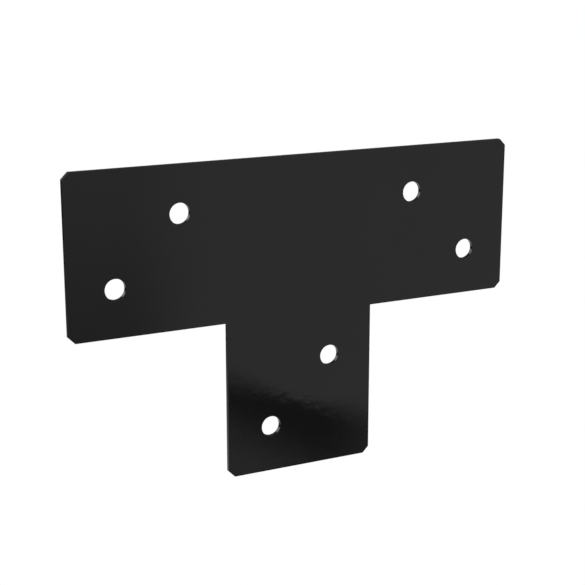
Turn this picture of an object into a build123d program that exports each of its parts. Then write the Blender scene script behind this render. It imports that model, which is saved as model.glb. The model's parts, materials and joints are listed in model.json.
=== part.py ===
from build123d import *
import os

# Flat tee connector plate for timber posts and rails: one blank of sheet steel with
# a powder coat. Millimetres, finished sizes over the coating.
#
# X runs along the crossbar, Z points up and Y is the plate's normal. The back, which
# lies against the timber, is the plane y = 0 and faces +Y; the front faces -Y. The
# origin is on the back face, where the centre lines of the crossbar and the stem cross.

# Driving dimensions
ARM_WIDTH = 85.0        # width of the crossbar and of the stem
THICKNESS = 2.5         # sheet with its coating
CORNER_CUT = 3.5        # leg of the 45 degree cut at each outer corner
HOLE_DIAMETER = 11.0    # clear hole for an M10 bolt or coach screw
EDGE_DISTANCE = 25.0    # from a hole's centre to the nearest sides of its arm's square
EDGE_RADIUS = 0.2       # deburred and coated edge, all round both faces

# Worked out from the driving dimensions
ARM_LENGTH = ARM_WIDTH                                  # each arm is a square beside the centre square
ARM_CENTRE = (ARM_WIDTH + ARM_LENGTH) / 2               # from the origin to the arm square's centre
HOLE_OFFSET = ARM_WIDTH / 2 - EDGE_DISTANCE             # from that centre to a hole, along each side
QUARTER_TURN = 90.0

NODE = "tee_plate"


def arm():
    """One arm along +X: a square with its two outer corners cut and two holes on a diagonal."""
    square = Pos(ARM_CENTRE, 0) * Rectangle(ARM_LENGTH, ARM_WIDTH)
    outer_corners = square.vertices().group_by(Axis.X)[-1]
    outline = chamfer(outer_corners, CORNER_CUT)
    hole = Circle(HOLE_DIAMETER / 2)
    inner_upper = Pos(ARM_CENTRE - HOLE_OFFSET, HOLE_OFFSET) * hole
    outer_lower = Pos(ARM_CENTRE + HOLE_OFFSET, -HOLE_OFFSET) * hole
    return outline - inner_upper - outer_lower


def blank():
    """The flat pattern: the centre square with an arm to each side and one downwards."""
    right_arm = arm()
    left_arm = mirror(right_arm, about=Plane.YZ)
    stem = Rot(0, 0, -QUARTER_TURN) * right_arm
    return Rectangle(ARM_WIDTH, ARM_WIDTH) + [right_arm, left_arm, stem]


def tee_plate():
    """The blank at full thickness, with the edges of both faces rounded."""
    plate = extrude(Plane.XZ * blank(), THICKNESS)
    face_edges = plate.faces().filter_by(Axis.Y).edges()
    return fillet(face_edges, EDGE_RADIUS)


plate = tee_plate()
plate.label = NODE

os.makedirs("parts", exist_ok=True)
export_step(plate, f"parts/{NODE}.step")
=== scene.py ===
import json
import math
from collections import namedtuple

import bmesh
import bpy
from mathutils import Matrix, Vector
from mathutils.geometry import delaunay_2d_cdt


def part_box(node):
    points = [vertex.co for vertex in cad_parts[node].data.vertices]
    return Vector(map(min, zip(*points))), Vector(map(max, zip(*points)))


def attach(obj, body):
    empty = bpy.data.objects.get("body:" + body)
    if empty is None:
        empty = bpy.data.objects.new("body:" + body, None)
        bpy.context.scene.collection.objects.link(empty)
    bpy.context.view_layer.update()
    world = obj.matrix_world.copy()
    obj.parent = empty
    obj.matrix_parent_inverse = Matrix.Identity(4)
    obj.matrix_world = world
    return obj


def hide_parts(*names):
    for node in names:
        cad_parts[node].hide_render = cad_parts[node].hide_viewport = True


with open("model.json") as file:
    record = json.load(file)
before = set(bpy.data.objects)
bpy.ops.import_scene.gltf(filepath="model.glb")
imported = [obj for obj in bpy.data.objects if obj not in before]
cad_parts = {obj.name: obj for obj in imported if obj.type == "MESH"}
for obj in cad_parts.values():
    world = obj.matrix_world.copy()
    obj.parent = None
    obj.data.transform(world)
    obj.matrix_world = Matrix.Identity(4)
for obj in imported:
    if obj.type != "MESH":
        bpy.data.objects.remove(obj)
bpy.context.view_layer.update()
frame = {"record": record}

# A flat black tee connector plate. X runs along the crossbar, Z is up, and the front faces -Y.
# All lengths are metres.

MM = 0.001
NODE = "tee_plate"

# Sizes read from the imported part
LOW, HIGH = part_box(NODE)
FRONT_Y, BACK_Y = LOW.y, HIGH.y
BAR_HALF = HIGH.x                       # half the crossbar's length
ARM_HALF = HIGH.z                       # half the width of the crossbar and of the stem
FOOT_Z = LOW.z                          # the stem's lower end

# Sizes of the outline and the edges that the record has no field for
CORNER_CUT = 3.5 * MM                   # leg of the cut at each outer corner
CORNER_ROUND = 0.3 * MM                 # the coating rounds every corner of the outline
EDGE_ROUND = 0.1 * MM                   # and every edge of the two faces
COAT_BAND = 1.2 * MM                    # strip along each edge where the coating gets duller

# Mesh density
ARC_STEPS = 4                           # along a rounded corner or edge
HOLE_STEPS = 96                         # round a hole
HOLE_RINGS = ((3.0 * MM, 48), (5.5 * MM, 24))   # gap from the hole's edge and number of points
GRID = 5.0 * MM                         # spacing of the points inside a face
GRID_MARGIN = 3.0 * MM                  # kept free of grid points beside an edge or a ring
INSIDE_ONLY = 1                         # the triangulation's setting that drops what lies outside
MERGE = 0.001 * MM                      # points closer together than this count as one
JOIN_BEND, JOIN_SKEW = 0.1, 0.7         # radians that a quad may bend, and lean away from square
EDGE_SHARE = "edge"                     # attribute: 1 on the edges and the walls, 0 on the faces
OUTLINE = 0                             # the outline's number among the rims; the holes follow
TO_FRONT = Vector((0, -1, 0))

# Camera
LENS = 84.60                            # focal length as Blender counts it, in millimetres
AZIMUTH, ELEVATION = math.radians(-26.93), math.radians(14.47)   # from straight in front of the plate
DISTANCE = 723.7 * MM
AIM = Vector((-4.15, 0.0, 11.90)) * MM  # from the plate's centre to the point aimed at


# ---------------------------------------------------------------- the plate's mesh

# A point of a rim, as an arc: its centre, the way into the metal, that way lengthened at a corner so
# that both sides move in alike, and the radius, which is negative where the metal lies outside.
RimPoint = namedtuple("RimPoint", "centre inward mitre radius")


def tee_corners():
    """The outline's corners in the XZ plane, anticlockwise as the front shows it with X to the right."""
    bar, half, foot, cut = BAR_HALF, ARM_HALF, FOOT_Z, CORNER_CUT
    right = [
        (half - cut, foot), (half, foot + cut), (half, -half),
        (bar - cut, -half), (bar, cut - half), (bar, half - cut), (bar - cut, half),
    ]
    left = [(-x, z) for x, z in reversed(right)]
    return [Vector(p) for p in right + left]


def outline_rim(corners):
    """The outline with rounded corners."""
    rim = []
    for i, corner in enumerate(corners):
        before, after = corners[i - 1], corners[(i + 1) % len(corners)]
        into, out = (corner - before).normalized(), (after - corner).normalized()
        arriving, leaving = Vector((-into.y, into.x)), Vector((-out.y, out.x))
        turn = math.atan2(into.cross(out), into.dot(out))
        radius = math.copysign(CORNER_ROUND, turn)
        mitre = (arriving + leaving) / (1 + math.cos(turn))
        for step in range(ARC_STEPS + 1):
            inward = arriving.copy()
            inward.rotate(Matrix.Rotation(turn * step / ARC_STEPS, 2))
            rim.append(RimPoint(corner + mitre * radius, inward, mitre, radius))
        run = (after - corner).length
        stops = max(1, round(run / GRID))
        for stop in range(1, stops):
            rim.append(RimPoint(corner + out * run * stop / stops, leaving, leaving, 0.0))
    return rim


def circle(centre, radius, steps):
    """Points round a circle, clockwise."""
    angles = [-math.tau * i / steps for i in range(steps)]
    return [centre + Vector((math.cos(a), math.sin(a))) * radius for a in angles]


def hole_rim(centre, radius):
    """A hole's edge."""
    spokes = [(point - centre) / radius for point in circle(centre, radius, HOLE_STEPS)]
    return [RimPoint(centre, spoke, spoke, -radius) for spoke in spokes]


def edge_point(point, inset):
    """Where a rim point lies with the rim drawn back into the metal by inset, round the same centre."""
    return point.centre - point.inward * (point.radius - inset)


def band_point(point):
    """Where a rim point lies on the inner border of the coat band, whose corners are as tight."""
    return point.centre - point.inward * point.radius + point.mitre * COAT_BAND


def edge_normal(point, outward, across):
    """A rim point's normal in space, from its outward and y shares."""
    return Vector((-point.inward.x * outward, across, -point.inward.y * outward))


def edge_profile():
    """Stations across the plate's edge, front to back: (inset, y, outward and y shares of the normal)."""
    front = []
    for step in range(ARC_STEPS + 1):
        angle = math.pi / 2 * step / ARC_STEPS
        inset = EDGE_ROUND * (1 - math.sin(angle))
        depth = EDGE_ROUND * (1 - math.cos(angle))
        front.append((inset, FRONT_Y + depth, math.sin(angle), -math.cos(angle)))
    back = [
        (inset, BACK_Y + FRONT_Y - y, outward, -across)
        for inset, y, outward, across in reversed(front)
    ]
    return front + back


def hole_places():
    """The holes' centres in the XZ plane and their radius, from the record."""
    record = frame["record"]
    radius = next(m for m in record["mounts"] if m["kind"] == "bolt_pattern")["dims"]["hole_r_mm"] * MM
    boxes = [opening["box_m"] for opening in record["physics"]["openings"]]
    centres = [Vector(((low[0] + high[0]) / 2, (low[2] + high[2]) / 2)) for low, high in boxes]
    return centres, radius


def inner_points(holes, hole_radius):
    """Points inside a face: rings round each hole, then an even grid clear of the edges and the rings."""
    points = []
    for gap, steps in HOLE_RINGS:
        for hole in holes:
            points += circle(hole, hole_radius + gap, steps)
    widest_gap, _ = HOLE_RINGS[-1]
    clear = hole_radius + widest_gap + GRID_MARGIN
    columns, rows = int(BAR_HALF / GRID), int(-FOOT_Z / GRID)
    for i in range(-columns, columns + 1):
        for j in range(-rows, rows + 1):
            p = Vector((i * GRID, j * GRID))
            in_bar = abs(p.x) < BAR_HALF - GRID_MARGIN and abs(p.y) < ARM_HALF - GRID_MARGIN
            in_stem = abs(p.x) < ARM_HALF - GRID_MARGIN and FOOT_Z + GRID_MARGIN < p.y < 0
            if (in_bar or in_stem) and all((p - hole).length > clear for hole in holes):
                points.append(p)
    return points


def face_triangles(rims, inner):
    """Triangles over one face, as indices into the rims' points and then the inner points."""
    points, edges, rim_of = [], [], []
    for number, rim in enumerate(rims):
        first = len(points)
        points += [band_point(point) for point in rim]
        edges += [(first + i, first + (i + 1) % len(rim)) for i in range(len(rim))]
        rim_of += [number] * len(rim)
    rim_of += [OUTLINE] * len(inner)        # no inner point is on a hole's rim

    def in_metal(triangle):
        """False where all three corners are on one hole's rim: that triangle would fill the hole."""
        touched = {rim_of[corner] for corner in triangle}
        return OUTLINE in touched or len(touched) > 1

    _, _, faces, sources, _, _ = delaunay_2d_cdt(points + inner, edges, [], INSIDE_ONLY, MERGE)
    triangles = [[sources[corner][0] for corner in face] for face in faces]
    return [triangle for triangle in triangles if in_metal(triangle)]


def build_plate():
    """The plate as one closed mesh: two flat faces, a rounded rim round the outline and each hole."""
    holes, hole_radius = hole_places()
    rims = [outline_rim(tee_corners())] + [hole_rim(hole, hole_radius) for hole in holes]
    bm = bmesh.new()
    edge_share = bm.verts.layers.float.new(EDGE_SHARE)
    normals = []

    def vertex(place, y, normal, share):
        v = bm.verts.new((place.x, y, place.y))
        v[edge_share] = share
        normals.append(normal)
        return v

    front_ring, back_ring = [], []
    for rim in rims:
        rings = [[vertex(band_point(point), FRONT_Y, TO_FRONT, 0.0) for point in rim]]
        for inset, y, outward, across in edge_profile():
            rings.append([
                vertex(edge_point(point, inset), y, edge_normal(point, outward, across), 1.0)
                for point in rim
            ])
        rings.append([vertex(band_point(point), BACK_Y, -TO_FRONT, 0.0) for point in rim])
        for near, far in zip(rings, rings[1:]):
            for i in range(len(rim)):
                bm.faces.new((near[i - 1], far[i - 1], far[i], near[i]))
        front_ring += rings[0]
        back_ring += rings[-1]

    inner = inner_points(holes, hole_radius)
    front = front_ring + [vertex(p, FRONT_Y, TO_FRONT, 0.0) for p in inner]
    back = back_ring + [vertex(p, BACK_Y, -TO_FRONT, 0.0) for p in inner]
    flat = []
    for a, b, c in face_triangles(rims, inner):
        flat.append(bm.faces.new((front[a], front[b], front[c])))
        flat.append(bm.faces.new((back[a], back[c], back[b])))
    bmesh.ops.join_triangles(
        bm, faces=flat, angle_face_threshold=JOIN_BEND, angle_shape_threshold=JOIN_SKEW)
    bmesh.ops.recalc_face_normals(bm, faces=bm.faces[:])
    for face in bm.faces:
        face.smooth = True

    mesh = bpy.data.meshes.new("tee_plate_coated")
    bm.to_mesh(mesh)
    bm.free()
    mesh.normals_split_custom_set_from_vertices(normals)
    plate = bpy.data.objects.new("tee_plate_coated", mesh)
    bpy.context.scene.collection.objects.link(plate)
    return plate


# ---------------------------------------------------------------- node helpers

def new_material(name):
    """A material with no nodes yet, and its node tree."""
    material = bpy.data.materials.new(name)
    material.use_nodes = True
    material.node_tree.nodes.clear()
    return material, material.node_tree


def add(tree, kind, inputs=None, **settings):
    """A node of that kind, with its settings, and inputs given as values or as sockets to link from."""
    node = tree.nodes.new(kind)
    for name, value in settings.items():
        setattr(node, name, value)
    for name, value in (inputs or {}).items():
        if isinstance(value, bpy.types.NodeSocket):
            tree.links.new(value, node.inputs[name])
        else:
            node.inputs[name].default_value = value
    return node


def noise(tree, where, spacing, detail=2.0):
    """Noise whose blobs are about spacing metres apart."""
    return add(tree, "ShaderNodeTexNoise", {"Vector": where, "Scale": 1 / spacing, "Detail": detail})


def ramp(tree, factor, stops):
    """A colour ramp through (position, grey) stops."""
    node = add(tree, "ShaderNodeValToRGB", {"Fac": factor})
    elements = node.color_ramp.elements
    while len(elements) < len(stops):
        elements.new(position=0.5)          # the loop below moves it to its own place
    for element, (position, grey) in zip(elements, stops):
        element.position = position
        element.color = (grey, grey, grey, 1)
    return node.outputs["Color"]


# ---------------------------------------------------------------- powder coat

BLACK = (0.0034, 0.0034, 0.0034, 1)
BLACK_THIN = (0.0048, 0.0048, 0.0048, 1)    # where the coat is a little thinner
COAT_IOR = 1.5
CLOUD_SPACING = 30 * MM                     # of the changes in colour and gloss over the faces
CLOUD_LOW, CLOUD_HIGH = 0.3, 0.7            # the range that this noise mostly stays in
ROUGHNESS_LOW, ROUGHNESS_HIGH = 0.022, 0.034    # over the faces
WALL_ROUGHNESS = 0.08                       # the coat is thinner and less even on the cut walls
PEEL_SPACING, PEEL_DEPTH = 4.6 * MM, 0.011 * MM
PEEL_DETAIL = 1.2
PEEL_PATTERN = 6.0                          # picks one of the noise's patterns
WAVE_SPACING, WAVE_DEPTH = 14.0 * MM, 0.003 * MM
WAVE_DETAIL = 1.0
CUT_SPACING, CUT_DEPTH = 0.45 * MM, 0.004 * MM
WITHOUT_Y = (1, 0, 1)                       # keeps the cutting lines straight across the walls


def powder_coat():
    """Gloss black powder coat: fine orange peel, a slow ripple, and faint cutting lines on the walls."""
    material, tree = new_material("gloss_black_powder_coat")
    where = add(tree, "ShaderNodeTexCoord").outputs["Object"]
    edge = add(tree, "ShaderNodeAttribute", attribute_name=EDGE_SHARE).outputs["Fac"]

    cloud = noise(tree, where, CLOUD_SPACING).outputs["Fac"]
    colour = add(tree, "ShaderNodeMix", {"Factor": cloud, "A": BLACK, "B": BLACK_THIN}, data_type="RGBA")
    on_faces = add(tree, "ShaderNodeMapRange", {
        "Value": cloud, "From Min": CLOUD_LOW, "From Max": CLOUD_HIGH,
        "To Min": ROUGHNESS_LOW, "To Max": ROUGHNESS_HIGH})
    roughness = add(tree, "ShaderNodeMix", {
        "Factor": edge, "A": on_faces.outputs["Result"], "B": WALL_ROUGHNESS})

    peel = add(tree, "ShaderNodeTexNoise", noise_dimensions="4D", inputs={
        "Vector": where, "W": PEEL_PATTERN, "Scale": 1 / PEEL_SPACING, "Detail": PEEL_DETAIL,
    }).outputs["Fac"]
    wave = noise(tree, where, WAVE_SPACING, WAVE_DETAIL).outputs["Fac"]
    along = add(tree, "ShaderNodeVectorMath", {0: where, 1: WITHOUT_Y}, operation="MULTIPLY")
    lines = noise(tree, along.outputs["Vector"], CUT_SPACING).outputs["Fac"]
    cut = add(tree, "ShaderNodeMath", {0: lines, 1: edge}, operation="MULTIPLY").outputs["Value"]

    slow = add(tree, "ShaderNodeBump", {"Height": wave, "Distance": WAVE_DEPTH})
    fine = add(tree, "ShaderNodeBump", {
        "Height": peel, "Distance": PEEL_DEPTH, "Normal": slow.outputs["Normal"]})
    walls = add(tree, "ShaderNodeBump", {
        "Height": cut, "Distance": CUT_DEPTH, "Normal": fine.outputs["Normal"]})

    coat = add(tree, "ShaderNodeBsdfPrincipled", {
        "Base Color": colour.outputs["Result"], "Roughness": roughness.outputs["Result"],
        "IOR": COAT_IOR, "Normal": walls.outputs["Normal"]})
    add(tree, "ShaderNodeOutputMaterial", {"Surface": coat.outputs["BSDF"]})
    return material


# ---------------------------------------------------------------- studio

# The reflected room is drawn by direction; left is -X and right is +X. A side is a direction square to
# a plane through the plate, and the values beside it say how far over that plane a change starts and
# ends.

WHITE = (1, 1, 1, 1)
FLOOR_SIDE = 20.0
UP, BACKWARDS = (0, 0, 1), (0, 1, 0)
SEAM = 0.2                              # how far the rooms in front and behind fade into each other
ROOM = 0.49                             # brightness of the room in front, where 1 is the white floor

# In front, all to the left of a little right of straight ahead is a dim corner. It is dimmest towards
# the floor: each pair is how high the direction points and the level there.
CORNER_SIDE = (0.928, 0.371, 0.0)
CORNER_START, CORNER_END = 0.032, -0.040
CORNER_HIGH, CORNER_LOW = (-0.161, 0.82), (-0.285, 0.55)

# A long dark bench in front. It darkens from the floor up; its far edge is sharpest in the middle of
# its length; it fades out to the right and in the dim corner.
BENCH_NEAR_SIDE = (0.5125, -0.0879, 0.8542)
BENCH_NEAR_START, BENCH_NEAR_END = -0.0453, 0.004
BENCH_NEAR_LEVEL, BENCH_DARKEST = 0.72, 0.12
BENCH_FAR_SIDE = (0.3662, -0.1662, 0.9155)
BENCH_FAR_SHARP, BENCH_FAR_SOFT = 0.0050, 0.014
BENCH_FAR_START, BENCH_FAR_END = -0.8, 1.2   # where that edge's fade lies, as shares of its softness
BENCH_LENGTHWISE = (0.8133, 0.5186, -0.2645)
BENCH_SOFT_REACH = 0.05
BENCH_END_START, BENCH_END = 0.018, 0.12

# Behind the plate: a pale floor, a dark wall above it, a dim room above that, and one soft lamp. Each
# pair is how high the direction points and the level there.
BACK_LEVELS = (
    (-0.50, 0.75), (-0.40, 0.62), (-0.33, 0.36), (-0.26, 0.08), (-0.20, 0.02),
    (-0.10, 0.02), (0.02, 0.20), (0.15, 0.12), (0.35, 0.12),
)
LAMP_WAY = (-0.505, 0.814, 0.285)
LAMP_RIM, LAMP_CORE = 0.915, 1.005
LAMP_LEVEL = 2.0

# Upright soft boxes that the plate mirrors in other views. Each is measured on a plane one metre in
# front of the plate or behind it: its lean in radians, where its sides are, and how bright it is.
SoftBox = namedtuple("SoftBox", "lean left right bottom top level")
FRONT_BOXES = (
    SoftBox(lean=0.12, left=-1.90, right=-0.98, bottom=-0.60, top=0.30, level=0.90),
    SoftBox(lean=-0.10, left=-0.90, right=-0.03, bottom=-0.11, top=1.00, level=0.75),
    SoftBox(lean=-0.14, left=1.00, right=1.90, bottom=-0.55, top=0.50, level=0.90),
)
BACK_BOXES = (
    SoftBox(lean=0.12, left=1.02, right=1.80, bottom=-0.56, top=0.60, level=0.60),
    SoftBox(lean=-0.12, left=-1.80, right=-1.00, bottom=-0.66, top=0.60, level=0.60),
)
BOX_EDGE = 0.012                        # softness of a soft box's sides
IN_FRONT, BEHIND = -1, 1                # which way along Y a soft box lies


def make_camera():
    """The camera at the reference view's angle and distance."""
    back = Vector((
        math.sin(AZIMUTH) * math.cos(ELEVATION),
        -math.cos(AZIMUTH) * math.cos(ELEVATION),
        math.sin(ELEVATION),
    ))
    data = bpy.data.cameras.new("camera")
    data.lens = LENS
    camera = bpy.data.objects.new("camera", data)
    camera.location = (LOW + HIGH) / 2 + AIM + back * DISTANCE
    camera.rotation_mode = "QUATERNION"
    camera.rotation_quaternion = (-back).to_track_quat("-Z", "Y")
    bpy.context.scene.collection.objects.link(camera)
    bpy.context.scene.camera = camera


def side_of(tree, way, normal):
    """How far a direction leans to the side that the normal points to, from -1 to 1."""
    dot = add(tree, "ShaderNodeVectorMath", {0: way, 1: normal}, operation="DOT_PRODUCT")
    return dot.outputs["Value"]


def fade(tree, value, start, end, first=0.0, last=1.0):
    """A smooth change from first to last as value goes from start to end."""
    node = add(tree, "ShaderNodeMapRange", interpolation_type="SMOOTHSTEP", inputs={
        "Value": value, "From Min": start, "From Max": end, "To Min": first, "To Max": last})
    return node.outputs["Result"]


def blend(tree, share, first, second):
    """From first to second as share goes from 0 to 1."""
    node = add(tree, "ShaderNodeMix", {"Factor": share, "A": first, "B": second})
    return node.outputs["Result"]


def profile(tree, value, stops):
    """The level at value, from (value, level) stops."""
    low, high = stops[0][0], stops[-1][0]
    share = add(tree, "ShaderNodeMapRange", {"Value": value, "From Min": low, "From Max": high})
    scaled = [((place - low) / (high - low), level) for place, level in stops]
    return ramp(tree, share.outputs["Result"], scaled)


def times(tree, first, second):
    """The product of two values."""
    return add(tree, "ShaderNodeMath", {0: first, 1: second}, operation="MULTIPLY").outputs["Value"]


def with_box(tree, way, room, facing, box):
    """The room's level with a soft box in it, IN_FRONT of the plate or BEHIND it."""
    along = Vector((math.cos(box.lean), 0, math.sin(box.lean)))
    up = Vector((-math.sin(box.lean), 0, math.cos(box.lean)))
    ahead = Vector((0, facing, 0))
    sides = (
        along - ahead * box.left, ahead * box.right - along,
        up - ahead * box.bottom, ahead * box.top - up,
    )
    inside = 1.0
    for side in sides:
        within = fade(tree, side_of(tree, way, side.normalized()), -BOX_EDGE, BOX_EDGE)
        inside = times(tree, inside, within)
    return blend(tree, inside, room, box.level)


def make_world():
    """A white room, which the coating mirrors with its darker furniture."""
    world = bpy.data.worlds.new("room")
    world.use_nodes = True
    tree = world.node_tree
    tree.nodes.clear()
    way = add(tree, "ShaderNodeTexCoord").outputs["Generated"]
    height = side_of(tree, way, UP)

    corner = fade(tree, side_of(tree, way, CORNER_SIDE), CORNER_START, CORNER_END)
    corner_level = fade(tree, height, CORNER_HIGH[0], CORNER_LOW[0], CORNER_HIGH[1], CORNER_LOW[1])
    lengthwise = side_of(tree, way, BENCH_LENGTHWISE)
    reach = add(tree, "ShaderNodeMath", {0: lengthwise}, operation="ABSOLUTE").outputs["Value"]
    softness = fade(tree, reach, 0.0, BENCH_SOFT_REACH, BENCH_FAR_SHARP, BENCH_FAR_SOFT)
    near = fade(tree, side_of(tree, way, BENCH_NEAR_SIDE), BENCH_NEAR_START, BENCH_NEAR_END,
                BENCH_NEAR_LEVEL, BENCH_DARKEST)
    beyond = fade(tree, side_of(tree, way, BENCH_FAR_SIDE),
                  times(tree, softness, BENCH_FAR_START), times(tree, softness, BENCH_FAR_END))
    end = fade(tree, lengthwise, BENCH_END_START, BENCH_END)
    bench = blend(tree, corner, blend(tree, end, blend(tree, beyond, near, 1.0), 1.0), 1.0)
    front = times(tree, times(tree, blend(tree, corner, 1.0, corner_level), bench), ROOM)
    for box in FRONT_BOXES:
        front = with_box(tree, way, front, IN_FRONT, box)

    lamp = fade(tree, side_of(tree, way, LAMP_WAY), LAMP_RIM, LAMP_CORE)
    back = blend(tree, lamp, profile(tree, height, BACK_LEVELS), LAMP_LEVEL)
    for box in BACK_BOXES:
        back = with_box(tree, way, back, BEHIND, box)
    level = blend(tree, fade(tree, side_of(tree, way, BACKWARDS), -SEAM, SEAM), front, back)

    path = add(tree, "ShaderNodeLightPath")
    lit = add(tree, "ShaderNodeBackground", {"Color": WHITE})
    gloss = add(tree, "ShaderNodeBackground", {"Color": WHITE, "Strength": level})
    room = add(tree, "ShaderNodeMixShader", {
        0: path.outputs["Is Glossy Ray"], 1: lit.outputs[0], 2: gloss.outputs[0]})
    add(tree, "ShaderNodeOutputWorld", {"Surface": room.outputs[0]})
    bpy.context.scene.world = world


def make_floor():
    """A plain white floor at the stem's foot, as bright as the room above it."""
    material, tree = new_material("floor_white")
    glow = add(tree, "ShaderNodeEmission", {"Color": WHITE})
    add(tree, "ShaderNodeOutputMaterial", {"Surface": glow.outputs[0]})
    half = FLOOR_SIDE / 2
    corners = [(-half, -half, 0), (half, -half, 0), (half, half, 0), (-half, half, 0)]
    mesh = bpy.data.meshes.new("floor")
    mesh.from_pydata(corners, [], [(0, 1, 2, 3)])
    mesh.materials.append(material)
    floor = bpy.data.objects.new("floor", mesh)
    floor.location.z = FOOT_Z
    floor.visible_glossy = False
    bpy.context.scene.collection.objects.link(floor)


plate = build_plate()
plate.data.materials.append(powder_coat())
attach(plate, "root")
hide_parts(NODE)

make_camera()
make_world()
make_floor()
bpy.context.scene.view_settings.view_transform = "Standard"
